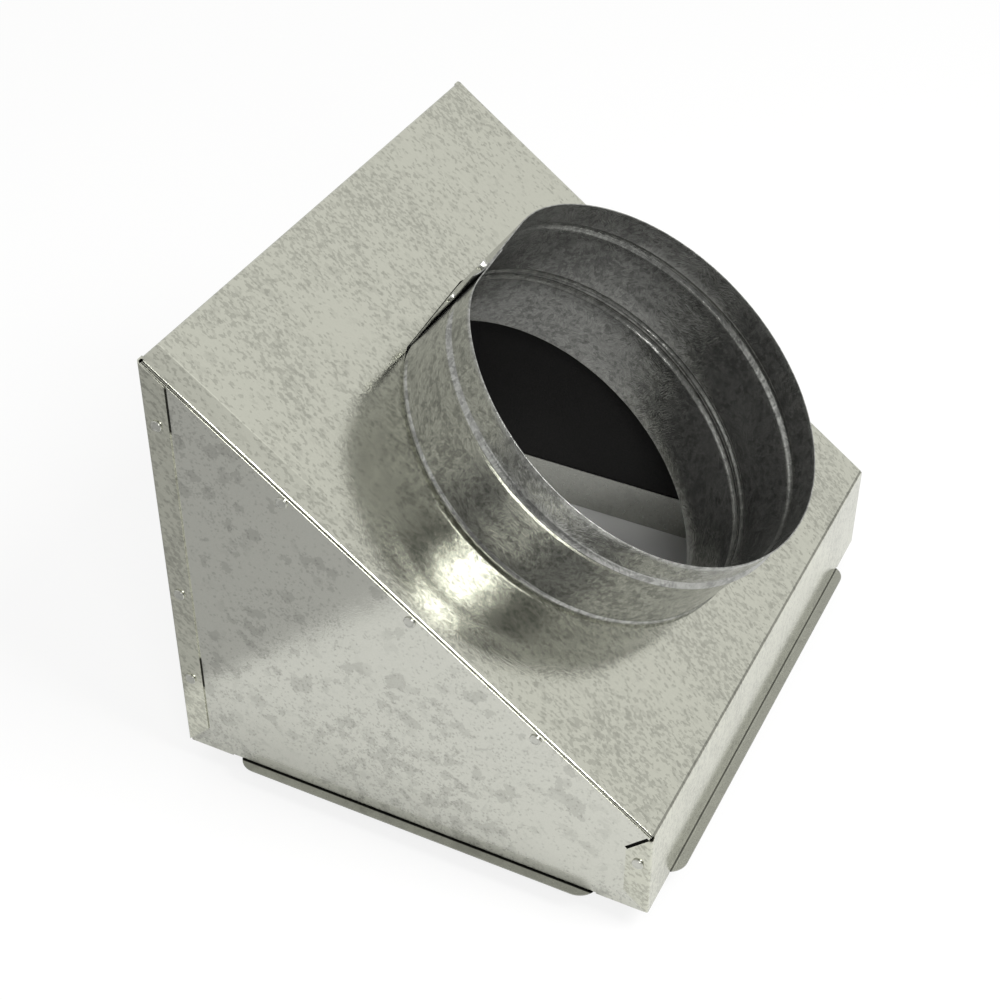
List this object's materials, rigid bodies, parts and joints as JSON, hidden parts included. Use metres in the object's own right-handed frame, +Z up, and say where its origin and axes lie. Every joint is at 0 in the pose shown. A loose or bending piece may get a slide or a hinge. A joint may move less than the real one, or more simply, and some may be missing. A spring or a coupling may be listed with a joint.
{
  "type": "insulated register box",
  "caption": "Galvanised register box with a tall back wall, a sloping face carrying a round beaded duct collar, a low front wall, a black insulation lining and rails around the opening",
  "frame": {"origin": "the middle of the rectangular register opening, in the plane that the walls stand on", "axes": "+X along the width, +Y from the low front wall to the tall back wall, +Z up from the opening"},
  "size_m": [0.3152, 0.2658, 0.2504],
  "materials": {
    "shell_steel": "hot-dip galvanised, small streaked spangle, fairly glossy",
    "panel_steel": "hot-dip galvanised, larger spangle, satin",
    "collar_steel": "galvanised, glossy, feathery spangle",
    "rail_steel": "galvanised strip, satin",
    "button_steel": "galvanised, pressed",
    "liner": "black faced fibre board, matt"
  },
  "bodies": {
    "root": {"wrap_sheet": "shell_steel", "side_panel_left": "panel_steel", "side_panel_right": "panel_steel", "collar": "collar_steel", "liner_back": "liner", "liner_slope": "liner", "liner_front": "liner", "liner_left": "liner", "liner_right": "liner", "rail_back": "rail_steel", "rail_front": "rail_steel", "rail_left": "rail_steel", "rail_right": "rail_steel", "clinch_back_left": "button_steel", "clinch_back_right": "button_steel", "clinch_slope_left": "button_steel", "clinch_slope_right": "button_steel", "clinch_front_left": "button_steel", "clinch_front_right": "button_steel", "clinch_collar_seam": "button_steel"}
  },
  "joints": []
}
